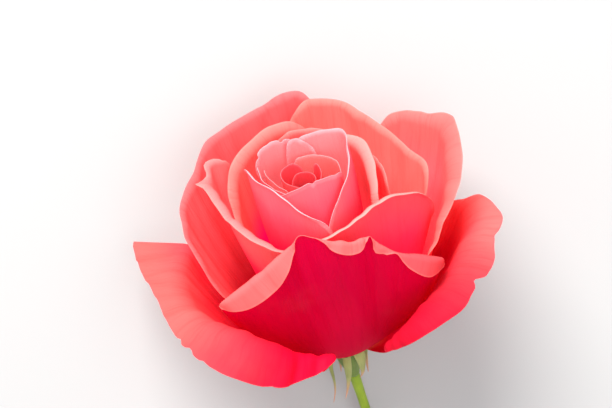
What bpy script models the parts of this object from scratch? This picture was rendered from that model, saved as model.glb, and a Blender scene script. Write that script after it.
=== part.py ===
"""A half-open garden rose, cut with a short bare stem and laid on its side.

Every petal lies on its own member of a family of nested cups.  A cup is a curve
that leaves the receptacle, turns upwards and, for the inner cups, leans back
towards the axis.  A petal's rim table says, for a few azimuths, which cup its
rim is on, how far up the cup the rim is, and how much of the rim is turned out.
Sizes in the tables are millimetres and degrees, in the flower's own frame:
+Z up the flower's axis, azimuth 0 at +X, 270 at the front.
"""
import bpy, bmesh, math
import numpy as np
from mathutils import Matrix, Vector

MM = 0.001

# ---- driving dimensions ---------------------------------------------------
PETAL_THICK = 0.50          # petal thickness
LIE_TILT = 30.0             # the flower's axis above the table, degrees
STEM_R_TOP, STEM_R_MID, STEM_R_END = 1.75, 1.50, 1.65
STEM_TAIL = 14.0            # straight length at the cut end, lying along the table
STEM_BEND_R = 98.0          # radius of the bend below the flower
STEM_LEAN = 0.05            # sideways lean of the stem
GAP = 0.30                  # clearance between neighbouring solids
HIP_DEPTH = 14.2            # hip, from the petals' level to the stem

# ---- family of nested cups: 0 is the innermost ------------------------------
CUP = [0.00, 0.25, 0.50, 0.75, 1.00, 1.25, 1.50, 1.80]
BASE_R = [0.8, 2.0, 3.2, 4.2, 5.0, 5.6, 6.1, 6.5]              # where the cup leaves the receptacle
BASE_Z = [3.0, 2.6, 2.1, 1.5, 0.9, 0.3, -0.2, -0.7]
LEAN_ROOT = [78.0, 50.0, 30.0, 15.0, 6.0, 0.0, -5.0, -10.0]    # slope at the root
LEAN_KNEE = [89.0, 85.0, 78.0, 70.0, 61.0, 50.0, 38.0, 22.0]   # slope 25 mm up
LEAN_HIGH = [91.0, 95.0, 93.0, 89.0, 85.0, 75.0, 58.0, 35.0]   # slope 75 mm up
S_KNEE, S_HIGH = 25.0, 75.0
CUP_STEP, S_STEP, S_MAX = 0.05, 0.5, 100.0
BLEND = 40.0                # a petal passes from its root's cup to its own over this length
SPREAD = 0.52               # a claw widens to the full petal over this share of its length

# ---- petals, from the heart outwards ------------------------------------------
# root: cup number at the root.  claw: azimuth and half width of the root.
# roll: how far the rim turns out.  fold: the share of the rim that the turn takes.
# crisp: the same share at the rim's first end.  flare: how slowly a long claw widens.  grid: columns, body rows, rim rows.
# rim: (azimuth, cup number, length up the cup, length of turned rim[, roll])
PETALS = {
    # innermost scroll, one side
    "petal_core_a": dict(root=0, claw=(20, 80), roll=10, grid=(8, 6, 1), rim=[(-120, 0, 56, 1), (-60, 0.01, 58.5, 1), (20, 0.02, 59.5, 1),
         (100, 0.03, 59.5, 1), (150, 0.035, 55, 1)]),
    # innermost scroll, other side
    "petal_core_b": dict(root=0.08, claw=(200, 50), roll=20, grid=(8, 6, 1), rim=[(78, 0.065, 59, 1), (112, 0.07, 63, 1), (170, 0.08, 63.5, 1),
         (230, 0.085, 63, 1), (300, 0.085, 60, 1)]),
    # wraps the scroll on the right
    "petal_core_c": dict(root=0.125, claw=(330, 45), roll=30, grid=(8, 6, 1), rim=[(247, 0.125, 60, 1), (275, 0.13, 63, 1), (305, 0.122, 62.4, 1),
         (330, 0.1, 62.2, 1), (375, 0.075, 63, 1), (408, 0.07, 60, 1)]),
    # small petal round the scroll, left
    "petal_heart_left": dict(root=0.22, claw=(196, 30), roll=40, grid=(8, 6, 1), rim=[(163, 0.235, 60, 1), (168, 0.232, 66.6, 1.2),
         (178, 0.22, 66.2, 1.2), (200, 0.19, 65.3, 1.2), (230, 0.185, 64.2, 1.2), (242, 0.19, 61, 1)]),
    # small petal round the scroll, back
    "petal_heart_back": dict(root=0.23, claw=(30, 35), roll=35, grid=(8, 6, 1), rim=[(-14, 0.26, 58, 1), (-6, 0.265, 61.5, 1.2),
         (11, 0.265, 63.3, 1.2), (46, 0.215, 63.2, 1.2), (85, 0.17, 62.6, 1.2), (98, 0.17, 59, 1)]),
    # bud, front
    "petal_bud_front": dict(root=0.355, claw=(290, 30), roll=70, grid=(9, 7, 1), rim=[(226, 0.29, 60, 1), (236, 0.29, 66, 1.5),
         (261, 0.27, 67.4, 1.5), (283, 0.265, 68.2, 1.5), (296, 0.27, 67.9, 1.5), (310, 0.28, 67.2, 1.5), (322, 0.285, 66.2, 1.5),
         (333, 0.285, 65, 1.5), (345, 0.28, 60, 1)]),
    # bud, left
    "petal_bud_left": dict(root=0.33, claw=(184, 28), roll=60, grid=(9, 7, 1), rim=[(161, 0.295, 61, 1), (166, 0.29, 68.2, 1.4),
         (180, 0.27, 66.7, 1.5), (215, 0.235, 65.2, 1.5), (236, 0.235, 64.5, 1.5), (248, 0.24, 61, 1)]),
    # bud, back right
    "petal_bud_back_r": dict(root=0.335, claw=(85, 24), roll=50, grid=(9, 7, 1), rim=[(60, 0.27, 62, 1), (68, 0.275, 65.5, 1.2),
         (78, 0.275, 67.5, 1.2), (87, 0.275, 68.5, 1.2), (94, 0.275, 67.6, 1.2), (99, 0.272, 63.5, 1.2), (102, 0.27, 57, 1)]),
    # bud, right: its edge falls steeply across the front
    "petal_bud_right": dict(root=0.407, claw=(5, 30), roll=60, grid=(9, 7, 1), rim=[(-82, 0.37, 48, 1), (-70, 0.355, 56, 1.6),
         (-57, 0.348, 60.6, 2), (-43, 0.345, 63.4, 2.2), (-27, 0.345, 65.2, 2.2), (-12, 0.35, 66.8, 2.2), (2, 0.36, 68.6, 2), (12, 0.385, 70, 1.6),
         (30, 0.42, 71, 1.5), (42, 0.37, 70.5, 1.5), (62, 0.32, 69, 1.5), (76, 0.31, 68, 1.5), (84, 0.31, 63, 1)]),
    # bud, back left
    "petal_bud_back_l": dict(root=0.445, claw=(115, 26), roll=50, grid=(9, 7, 1), rim=[(90, 0.335, 62, 1), (97, 0.335, 68, 1.5),
         (106, 0.335, 68.8, 1.5), (118, 0.34, 69.2, 1.5), (136, 0.34, 69, 1.5), (143, 0.34, 67, 1.5), (148, 0.345, 62, 1)]),
    # wraps the bud from the left to the front
    "petal_bud_wrap": dict(root=0.48, claw=(215, 30), roll=70, grid=(9, 7, 2), rim=[(140, 0.45, 58, 1), (149, 0.43, 64.4, 2),
         (160, 0.38, 66.8, 2.2), (175, 0.345, 68.6, 2.2), (195, 0.33, 69.5, 2.3), (215, 0.335, 70.2, 2.4), (232, 0.345, 69.8, 2.6),
         (246, 0.375, 68.6, 2.8), (258, 0.41, 65.9, 2.8), (268, 0.435, 63.5, 2.4), (277, 0.45, 61, 1.6), (284, 0.455, 56, 1)]),
    # turned rim to the right of the bud
    "petal_mid_right": dict(root=0.503, claw=(20, 28), roll=100, grid=(9, 7, 2), rim=[(-32, 0.48, 47, 1.5), (-22, 0.475, 53, 3), (-13, 0.46, 57, 4),
         (9, 0.465, 62, 4.6), (25, 0.48, 64.5, 4.6), (40, 0.48, 65, 3.5), (52, 0.475, 62.5, 2), (62, 0.475, 57, 1)]),
    # behind the bud
    "petal_mid_back": dict(root=0.562, claw=(88, 28), roll=60, grid=(9, 7, 1), rim=[(42, 0.56, 57, 1), (55, 0.55, 64, 2), (72, 0.55, 66.5, 2),
         (86, 0.565, 66.8, 2), (98, 0.58, 65.5, 1.5), (106, 0.585, 60, 1), (112, 0.59, 54, 1)]),
    # low in front, flaring to the right
    "petal_mid_front": dict(root=0.7, claw=(305, 30), roll=110, grid=(9, 7, 2), rim=[(258, 0.55, 54, 1), (266, 0.55, 60, 3), (289, 0.525, 60.3, 3),
         (312, 0.515, 60.2, 3), (330, 0.56, 60, 3), (340, 0.66, 61.2, 3), (346, 0.79, 61.4, 3), (350, 0.89, 58.8, 2.5), (354, 0.97, 54, 2),
         (357, 1, 47, 1)]),
    # between the bud and the tall back petal, right
    "petal_mid_behind": dict(root=0.64, claw=(0, 26), roll=60, grid=(9, 7, 1), rim=[(-18, 0.62, 46, 1), (-4, 0.61, 53, 2), (3, 0.6, 58, 2),
         (16, 0.6, 60, 2), (31, 0.62, 60, 2), (44, 0.63, 54, 1)]),
    # wide arch round the bud, left
    "petal_arch_left": dict(root=0.67, claw=(130, 30), roll=85, grid=(10, 7, 2), rim=[(68, 0.8, 48, 1), (76, 0.8, 57, 2), (83, 0.785, 63.6, 3.3),
         (90, 0.755, 66.2, 4.4), (98, 0.725, 66.6, 4.6), (113, 0.68, 65.3, 4.5), (130, 0.665, 62.5, 4.5), (140, 0.65, 58.5, 4), (150, 0.62, 53, 3),
         (165, 0.565, 48, 2), (178, 0.53, 42, 1)]),
    # folded corner on the left
    "petal_fold_left": dict(root=0.82, claw=(205, 28), roll=100, grid=(10, 7, 3), rim=[(128, 0.78, 58, 1), (134, 0.8, 67.6, 2),
         (141, 0.84, 69.4, 2.8), (146, 0.81, 67.8, 2), (152, 0.765, 65.4, 7), (157, 0.715, 65.3, 4.6), (163, 0.665, 64.8, 4.9),
         (175, 0.6, 63.2, 4.8), (187, 0.56, 61.6, 4.6), (200, 0.535, 61, 4.6), (216, 0.54, 60.8, 4.8), (232, 0.56, 60.2, 4), (243, 0.58, 60, 3),
         (250, 0.58, 54, 1)]),
    # tall petal behind
    "petal_back_tall": dict(root=0.8, claw=(45, 30), roll=45, grid=(9, 7, 2), rim=[(-3, 0.93, 52, 1), (0, 0.94, 58, 2), (5, 0.94, 63, 3),
         (20, 0.87, 64, 3), (36, 0.85, 66, 3), (52, 0.89, 69, 3), (64, 0.93, 72, 3), (76, 0.93, 73, 3), (84, 0.89, 70, 2), (92, 0.88, 62, 1)]),
    # broad front petal, its rim rolled out in three lobes
    "petal_front": dict(root=0.895, claw=(270, 30), roll=150, fold=0.45, grid=(13, 7, 3), rim=[(213, 1.09, 57, 1), (216, 1.06, 58.5, 4),
         (223, 0.93, 59, 8.5), (232, 0.79, 60.5, 9.5), (243, 0.69, 62.5, 7.5), (253, 0.66, 66.2, 3), (260, 0.655, 68.6, 1), (267, 0.66, 68, 1),
         (273, 0.67, 66.3, 2), (280, 0.68, 64.5, 4.2), (288, 0.695, 63.2, 5.2), (294, 0.7, 62.5, 4.5), (300, 0.71, 62.2, 0.8), (304, 0.77, 59.5, 4),
         (309, 0.87, 58, 1.5), (314, 0.98, 58, 6), (319, 1.08, 57.5, 8), (323, 1.13, 56.5, 5.5), (327, 1.15, 52, 1)]),
    # tall outer petal, back left
    "petal_left_tall": dict(root=1.06, claw=(140, 30), roll=45, grid=(9, 7, 2), rim=[(72, 1, 62, 1), (78, 1.01, 72, 2), (84, 1.05, 76, 3),
         (98, 1.06, 74, 3), (116, 1.08, 72.5, 3), (124, 1.09, 72, 3), (139, 1.05, 67, 3), (160, 1.04, 64, 3), (172, 1.01, 59, 3),
         (187, 0.97, 50, 3), (197, 0.95, 42, 1)]),
    # tall outer petal, back right
    "petal_right_tall": dict(root=1.08, claw=(22, 30), roll=50, grid=(9, 7, 3), rim=[(-27, 1, 45, 2), (-24, 1.01, 48, 2.8), (-12, 1.045, 53, 5.8),
         (-2, 1.09, 59, 8.4), (8, 1.13, 65.3, 9.5), (16, 1.17, 69.5, 9), (22, 1.2, 70.8, 7), (31, 1.2, 69.9, 4.5), (38, 1.19, 69.2, 4),
         (45, 1.18, 67, 4), (51, 1.16, 63, 2), (56, 1.13, 55.5, 1)]),
    # laid open to the right
    "petal_spread_right": dict(root=1.26, claw=(-6, 30), roll=70, flare=1.5, grid=(10, 7, 3), rim=[(-84, 1.24, 36, 2, 90),
         (-80, 1.24, 38.5, 3.5, 95), (-74, 1.23, 41, 6, 98), (-68, 1.22, 44, 9, 98), (-60, 1.21, 46, 14, 94), (-50, 1.195, 46.5, 18.5, 90),
         (-40, 1.195, 46.5, 19.5, 82), (-29, 1.205, 47, 19, 74), (-16, 1.245, 48.5, 15.4, 68), (-10, 1.265, 49.4, 16.4, 66),
         (-3, 1.285, 50, 14.2, 66), (8, 1.31, 50.5, 9, 66), (14, 1.33, 50, 3.5, 60), (21, 1.33, 45.5, 1, 60)]),
    # laid open to the left and front
    "petal_spread_left": dict(root=1.2, claw=(200, 32), roll=60, fold=0.6, crisp=0.2, flare=1.5, grid=(10, 7, 3), rim=[(151, 1.25, 50.4, 25, 69),
         (155, 1.26, 51, 21.3, 76), (164, 1.26, 51.2, 15.6, 60), (176, 1.24, 50.5, 13, 52), (192, 1.22, 51, 12, 54), (206, 1.19, 53, 13.5, 68),
         (220, 1.17, 54, 18, 78), (232, 1.165, 53, 20, 86), (242, 1.17, 49.5, 18, 90), (250, 1.175, 45.5, 14, 90), (258, 1.18, 43, 11, 90),
         (266, 1.19, 41.5, 8.2, 88), (272, 1.195, 40.7, 5.4, 84), (277, 1.2, 39.8, 2.4, 70)]),
    # outermost, under the left side
    "petal_under_left": dict(root=1.44, claw=(119, 28), roll=60, grid=(9, 7, 3), rim=[(97, 1.26, 44, 1), (103, 1.3, 48, 4), (115, 1.33, 50, 6),
         (128, 1.33, 49.5, 6), (137, 1.29, 46, 4), (143, 1.26, 41, 1)]),
    # outermost, under the right side
    "petal_under_right": dict(root=1.44, claw=(52, 28), roll=60, grid=(9, 7, 3), rim=[(26, 1.34, 42, 2), (32, 1.37, 46, 4), (44, 1.38, 49, 6),
         (60, 1.36, 50, 6), (72, 1.32, 48, 4), (78, 1.28, 43, 1)]),
}

# sepals: azimuth, length, width, turn of the tip (degrees), sideways bend of the tip
SEPALS = {"sepal_1": (215, 20.5, 2.3, 20, -1.8), "sepal_2": (261, 17, 2.9, 4, -3.2), "sepal_3": (298, 12, 4.2, -34, -1.0),
          "sepal_4": (44, 20, 4.2, 2, 0.8), "sepal_5": (112, 18, 4.2, 10, 0.6)}

PETAL_COLOURS = {"core": (0.90, 0.28, 0.32), "heart": (0.90, 0.30, 0.34), "bud": (0.90, 0.26, 0.34),
                 "mid": (0.88, 0.22, 0.26), "arch": (0.90, 0.28, 0.27), "fold": (0.90, 0.26, 0.28),
                 "back": (0.90, 0.24, 0.22), "front": (0.72, 0.02, 0.08), "left": (0.88, 0.16, 0.17),
                 "right": (0.88, 0.20, 0.19), "spread": (0.86, 0.09, 0.12), "under": (0.80, 0.06, 0.11)}


# ---- curves ----------------------------------------------------------------
def smooth_curve(x, xs, ys):
    """curve through knots that never overshoots them, level beyond the ends"""
    x = np.asarray(x, float); xs = np.asarray(xs, float); ys = np.asarray(ys, float)
    h = np.diff(xs); d = np.diff(ys) / h
    m = np.zeros(len(xs)); m[0] = d[0]; m[-1] = d[-1]
    for i in range(1, len(xs) - 1):
        if d[i - 1] * d[i] > 0:
            a = 2 * h[i] + h[i - 1]; b = h[i] + 2 * h[i - 1]
            m[i] = (a + b) / (a / d[i - 1] + b / d[i])
    k = np.clip(np.searchsorted(xs, x, side="right") - 1, 0, len(xs) - 2)
    t = np.clip((x - xs[k]) / h[k], 0, 1)
    return ((2 * t**3 - 3 * t**2 + 1) * ys[k] + (t**3 - 2 * t**2 + t) * h[k] * m[k]
            + (-2 * t**3 + 3 * t**2) * ys[k + 1] + (t**3 - t**2) * h[k] * m[k + 1])


def ease(t):
    t = np.clip(t, 0, 1)
    return t * t * (3 - 2 * t)


def cup_tables():
    """radius, height and slope along every cup"""
    cups = np.arange(0.0, CUP[-1] + 1e-9, CUP_STEP)
    s = np.arange(0.0, S_MAX + 1e-9, S_STEP)
    R = np.zeros((len(cups), len(s))); Z = R.copy(); A = R.copy()
    for i, c in enumerate(cups):
        a, b, e = (smooth_curve(c, CUP, q) for q in (LEAN_ROOT, LEAN_KNEE, LEAN_HIGH))
        t = np.clip(s / S_KNEE, 0, 1); u = np.clip((s - S_KNEE) / (S_HIGH - S_KNEE), 0, None)
        lean = np.radians(a + (b - a) * (1 - (1 - t)**1.6) + (e - b) * u)
        cs, sn = np.cos(lean), np.sin(lean)
        R[i] = smooth_curve(c, CUP, BASE_R) + np.concatenate([[0], np.cumsum((cs[1:] + cs[:-1]) / 2) * S_STEP])
        Z[i] = smooth_curve(c, CUP, BASE_Z) + np.concatenate([[0], np.cumsum((sn[1:] + sn[:-1]) / 2) * S_STEP])
        A[i] = lean
    return R, Z, A


CUP_R, CUP_Z, CUP_A = cup_tables()


def on_cup(c, s):
    fi = np.clip(c / CUP_STEP, 0, CUP_R.shape[0] - 1.001); fj = np.clip(s / S_STEP, 0, CUP_R.shape[1] - 1.001)
    i = fi.astype(int); j = fj.astype(int); a = fi - i; b = fj - j
    return tuple(T[i, j] * (1 - a) * (1 - b) + T[i + 1, j] * a * (1 - b) + T[i, j + 1] * (1 - a) * b
                 + T[i + 1, j + 1] * a * b for T in (CUP_R, CUP_Z, CUP_A))


# ---- petal surface -----------------------------------------------------------
HI_U, HI_B, HI_L = 161, 81, 24


def petal_sheet(p):
    """fine middle surface of one petal: body rows, then turned-rim rows"""
    st = sorted(p["rim"])
    th, cu, sc, lp = (np.array([q[i] for q in st], float) for i in range(4))
    rl = np.array([q[4] if len(q) > 4 else p["roll"] for q in st], float)
    u = np.linspace(0, 1, HI_U)
    top = th[0] + (th[-1] - th[0]) * u
    s_c = smooth_curve(top, th, sc); lip = smooth_curve(top, th, lp)
    mid, half = p["claw"]
    w0 = min(half / ((th[-1] - th[0]) / 2), 0.95)
    s = np.linspace(0, 1, HI_B)[:, None] * s_c[None, :]
    w = w0 + (1 - w0) * (1 - (1 - np.clip(s / (SPREAD * float(sc.max())), 0, 1))**2)
    if "flare" in p:                       # a slow widening, for a petal with a long narrow claw
        w = w0 + (1 - w0) * np.clip(s / float(sc.max()), 0, 1)**p["flare"]
    az = mid + (top[None, :] - mid) * w
    own = smooth_curve(np.clip(az, th[0], th[-1]), th, cu)
    c = p["root"] + (own - p["root"]) * ease(s / BLEND)
    r, z, a = on_cup(c, s)
    azr = np.radians(az)
    body = np.stack([r * np.cos(azr), r * np.sin(azr), z], -1)
    # the rim turns outwards, square to its own line
    C = body[-1]
    T = np.gradient(C, axis=0)
    k = np.exp(-0.5 * (np.arange(-9, 10) / 4.0)**2); k /= k.sum()
    T = np.stack([np.convolve(np.pad(T[:, i], 9, mode="edge"), k, mode="valid") for i in range(3)], -1)
    T /= np.linalg.norm(T, axis=1, keepdims=True)
    ac, ar = a[-1], azr[-1]
    M = np.stack([np.cos(ac) * np.cos(ar), np.cos(ac) * np.sin(ar), np.sin(ac)], -1)
    N = np.cross(T, M); N /= np.linalg.norm(N, axis=1, keepdims=True)
    D = np.cross(N, T)
    roll = np.radians(smooth_curve(top, th, rl)) * np.minimum(1.0, lip / 3.0)
    share = np.full(HI_U, p.get("fold", 1.0))
    if "crisp" in p:                       # the turn is tighter at the rim's first end
        share = p["crisp"] + (share - p["crisp"]) * ease(u / 0.22)
    ang = roll[None, :] * np.clip(np.linspace(0, 1, HI_L + 1)[:, None] / share[None, :], 0, 1)
    cs, sn = np.cos(ang), np.sin(ang)
    f = np.concatenate([np.zeros((1, HI_U)), np.cumsum((cs[1:] + cs[:-1]) / 2, axis=0) / HI_L]) * lip
    g = np.concatenate([np.zeros((1, HI_U)), np.cumsum((sn[1:] + sn[:-1]) / 2, axis=0) / HI_L]) * lip
    rim = C[None] + D[None] * f[..., None] + N[None] * g[..., None]
    return np.concatenate([body, rim[1:]])


def sample(H, nu, nb, nl):
    """nu columns, nb body rows and nl rim rows of a fine sheet"""
    u = np.linspace(0, 1, nu); u = 0.75 * u + 0.25 * (0.5 - 0.5 * np.cos(math.pi * u))
    rows = np.concatenate([np.linspace(0, HI_B - 1, nb), HI_B - 1 + np.linspace(0, HI_L, nl + 1)[1:]])
    cols = u * (HI_U - 1)
    i = np.minimum(rows.astype(int), H.shape[0] - 2); a = (rows - i)[:, None, None]
    j = np.minimum(cols.astype(int), H.shape[1] - 2); b = (cols - j)[None, :, None]
    return (H[i][:, j] * (1 - a) * (1 - b) + H[i + 1][:, j] * a * (1 - b)
            + H[i][:, j + 1] * (1 - a) * b + H[i + 1][:, j + 1] * a * b)


# ---- Blender objects -----------------------------------------------------------
def material(name, rgb, rough):
    m = bpy.data.materials.new(name); m.use_nodes = True
    b = m.node_tree.nodes["Principled BSDF"]
    b.inputs["Base Color"].default_value = (*rgb, 1.0)
    b.inputs["Roughness"].default_value = rough
    b.inputs["Metallic"].default_value = 0.0
    m.diffuse_color = (*rgb, 1.0)
    return m


def finish(bm, name, rgb, rough, carrier):
    mesh = bpy.data.meshes.new(name)
    bmesh.ops.recalc_face_normals(bm, faces=bm.faces) if not any(e.is_boundary for e in bm.edges) else None
    bm.to_mesh(mesh); bm.free()
    mesh.shade_smooth()
    o = bpy.data.objects.new(name, mesh)
    bpy.context.scene.collection.objects.link(o)
    mesh.materials.append(material(name, rgb, rough))
    o.parent = carrier
    return o


def sheet_object(P, name, rgb, rough, thick, carrier):
    """a grid of points (rows, columns, 3) as a sheet, given its thickness by Solidify"""
    nv, nu, _ = P.shape
    bm = bmesh.new()
    vs = [[bm.verts.new([c * MM for c in P[j, i]]) for i in range(nu)] for j in range(nv)]
    for j in range(nv - 1):
        for i in range(nu - 1):
            bm.faces.new((vs[j][i], vs[j][i + 1], vs[j + 1][i + 1], vs[j + 1][i]))
    o = finish(bm, name, rgb, rough, carrier)
    s = o.modifiers.new("thickness", "SOLIDIFY")
    s.thickness = thick * MM; s.offset = 0.0
    return o


def rings_object(rings, name, rgb, rough, carrier):
    """closed skin through rings of points, with a flat cap at each end"""
    bm = bmesh.new()
    vs = [[bm.verts.new([c * MM for c in p]) for p in ring] for ring in rings]
    n = len(vs[0])
    for a, b in zip(vs[:-1], vs[1:]):
        for i in range(n):
            bm.faces.new((a[i], a[(i + 1) % n], b[(i + 1) % n], b[i]))
    bm.faces.new(vs[0]); bm.faces.new(vs[-1])
    return finish(bm, name, rgb, rough, carrier)


def hip_rings(sides=20):
    """receptacle dome that the petals stand on, shoulder, and tapering hip"""
    dome = [(r, z - PETAL_THICK / 2 - GAP) for r, z in zip(BASE_R, BASE_Z)][:6]
    prof = dome + [(5.75, -0.75), (5.3, -1.6), (4.7, -2.8), (4.25, -4.6), (3.7, -7.0), (3.0, -9.6), (2.3, -12.0),
                   (1.9, -HIP_DEPTH)]
    return [[(r * math.cos(2 * math.pi * i / sides), r * math.sin(2 * math.pi * i / sides), z) for i in range(sides)]
            for r, z in prof]


def stem_rings(sides=12, steps=16):
    """round stem: straight below the hip, bent until it lies along the table, then straight"""
    bend = math.radians(LIE_TILT); arc = STEM_BEND_R * bend
    total = arc + STEM_TAIL
    out = []
    p = np.array([0.0, 0.0, -HIP_DEPTH - GAP]); fine = 40
    s, ds = 0.0, total / (steps * fine)
    for k in range(steps + 1):
        b = bend * min(s / arc, 1.0)
        d = np.array([STEM_LEAN, -math.sin(b), -math.cos(b)]); d /= np.linalg.norm(d)
        n1 = np.cross(d, (1.0, 0.0, 0.0)); n1 /= np.linalg.norm(n1); n2 = np.cross(d, n1)
        r = float(smooth_curve(s, [0, total * 0.18, total * 0.6, total], [STEM_R_TOP, STEM_R_MID, STEM_R_MID, STEM_R_END]))
        out.append([tuple(p + r * (math.cos(2 * math.pi * i / sides) * n1 + math.sin(2 * math.pi * i / sides) * n2))
                    for i in range(sides)])
        for _ in range(fine):
            b = bend * min(s / arc, 1.0)
            d = np.array([STEM_LEAN, -math.sin(b), -math.cos(b)]); d /= np.linalg.norm(d)
            p = p + d * ds; s += ds
    return out


def sepal_sheet(az, length, width, turn, sway, nu=5, nv=10):
    """a reflexed sepal: leaves the shoulder, turns down along the hip, its tip turning out again"""
    a = math.radians(az); out = np.array([math.cos(a), math.sin(a), 0.0]); side = np.array([-math.sin(a), math.cos(a), 0.0])
    P = np.zeros((nv, nu, 3)); r, z = 6.15, -1.35; ds = length / 200.0; k = 0
    for j in range(nv):
        while k < round(200 * j / (nv - 1)):
            t = k / 200.0
            slope = math.radians(-52 - 42 * float(ease(t / 0.3)) + turn * float(ease((t - 0.45) / 0.55)))
            r += math.cos(slope) * ds; z += math.sin(slope) * ds; k += 1
        t = j / (nv - 1)
        half = 0.5 * width * (0.16 + 0.84 * (1 - t)**0.8)
        for i in range(nu):
            x = -1 + 2 * i / (nu - 1)
            P[j, i] = out * (r - 0.35 * x * x * (1 - t)) + side * (half * x + sway * t * t) + np.array([0, 0, z])
    return P


# ---- build ------------------------------------------------------------------------
for o in list(bpy.data.objects):
    bpy.data.objects.remove(o, do_unlink=True)

rose = bpy.data.objects.new("rose_frame", None)
bpy.context.scene.collection.objects.link(rose)

made = []
for name, p in PETALS.items():
    nu, nb, nl = p["grid"]
    rgb = PETAL_COLOURS[name.split("_")[1]]
    made.append(sheet_object(sample(petal_sheet(p), nu, nb, nl), name, rgb, 0.55, PETAL_THICK, rose))
made.append(rings_object(hip_rings(), "hip", (0.22, 0.24, 0.08), 0.6, rose))
made.append(rings_object(stem_rings(), "stem", (0.36, 0.45, 0.06), 0.5, rose))
for name, (az, length, width, turn, sway) in SEPALS.items():
    made.append(sheet_object(sepal_sheet(az, length, width, turn, sway), name, (0.30, 0.36, 0.12), 0.6, 0.6, rose))

# lay the flower down: front upwards, the axis LIE_TILT above the table, the stem along +Y
t = math.radians(LIE_TILT)
turn = Matrix(((-1, 0, 0), (0, -math.sin(t), -math.cos(t)), (0, -math.cos(t), math.sin(t))))
rose.matrix_world = turn.to_4x4()
bpy.context.view_layer.update()
deps = bpy.context.evaluated_depsgraph_get()
low, high = Vector((9, 9, 9)), Vector((-9, -9, -9))
for o in made:
    e = o.evaluated_get(deps); me = e.to_mesh()
    for v in me.vertices:
        w = o.matrix_world @ v.co
        low = Vector(map(min, low, w)); high = Vector(map(max, high, w))
    e.to_mesh_clear()
rose.location = Vector((-(low.x + high.x) / 2, -(low.y + high.y) / 2, -low.z))
bpy.context.view_layer.update()
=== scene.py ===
import bpy, math
import numpy as np
from mathutils import Matrix, Vector


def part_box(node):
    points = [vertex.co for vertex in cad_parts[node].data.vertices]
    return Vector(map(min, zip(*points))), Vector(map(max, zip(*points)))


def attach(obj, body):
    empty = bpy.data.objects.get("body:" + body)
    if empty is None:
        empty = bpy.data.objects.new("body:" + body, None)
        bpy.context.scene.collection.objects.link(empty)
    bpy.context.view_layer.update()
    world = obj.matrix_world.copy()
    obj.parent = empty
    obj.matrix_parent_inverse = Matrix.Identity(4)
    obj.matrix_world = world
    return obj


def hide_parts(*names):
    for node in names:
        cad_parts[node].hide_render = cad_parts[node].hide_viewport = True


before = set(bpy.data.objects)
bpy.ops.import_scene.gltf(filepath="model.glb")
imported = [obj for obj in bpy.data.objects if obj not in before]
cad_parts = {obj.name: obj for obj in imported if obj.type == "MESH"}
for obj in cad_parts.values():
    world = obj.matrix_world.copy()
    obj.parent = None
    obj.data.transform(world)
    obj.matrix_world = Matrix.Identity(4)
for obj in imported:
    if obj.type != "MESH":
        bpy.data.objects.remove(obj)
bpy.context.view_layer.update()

# A half-open garden rose lying on its side.  The petals are built again here, finer than the solids they stand for,
# on the same family of nested cups.  Sizes in the tables are millimetres and degrees, in the flower's own frame:
# +Z up the flower's axis, azimuth 0 at +X, 270 at the front.
MM = 0.001
LIE_TILT = 30.0
PETAL_THICK, GAP, HIP_DEPTH = 0.50, 0.30, 14.2
STEM_R_TOP, STEM_R_MID, STEM_R_END = 1.75, 1.50, 1.65
STEM_TAIL, STEM_BEND_R, STEM_LEAN = 14.0, 98.0, 0.05

# ---- family of nested cups: 0 is the innermost ------------------------------
CUP = [0.00, 0.25, 0.50, 0.75, 1.00, 1.25, 1.50, 1.80]
BASE_R = [0.8, 2.0, 3.2, 4.2, 5.0, 5.6, 6.1, 6.5]              # where the cup leaves the receptacle
BASE_Z = [3.0, 2.6, 2.1, 1.5, 0.9, 0.3, -0.2, -0.7]
LEAN_ROOT = [78.0, 50.0, 30.0, 15.0, 6.0, 0.0, -5.0, -10.0]    # slope at the root
LEAN_KNEE = [89.0, 85.0, 78.0, 70.0, 61.0, 50.0, 38.0, 22.0]   # slope 25 mm up
LEAN_HIGH = [91.0, 95.0, 93.0, 89.0, 85.0, 75.0, 58.0, 35.0]   # slope 75 mm up
S_KNEE, S_HIGH = 25.0, 75.0
CUP_STEP, S_STEP, S_MAX = 0.05, 0.5, 100.0
BLEND = 40.0                # a petal passes from its root's cup to its own over this length
SPREAD = 0.52               # a claw widens to the full petal over this share of its length

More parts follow.
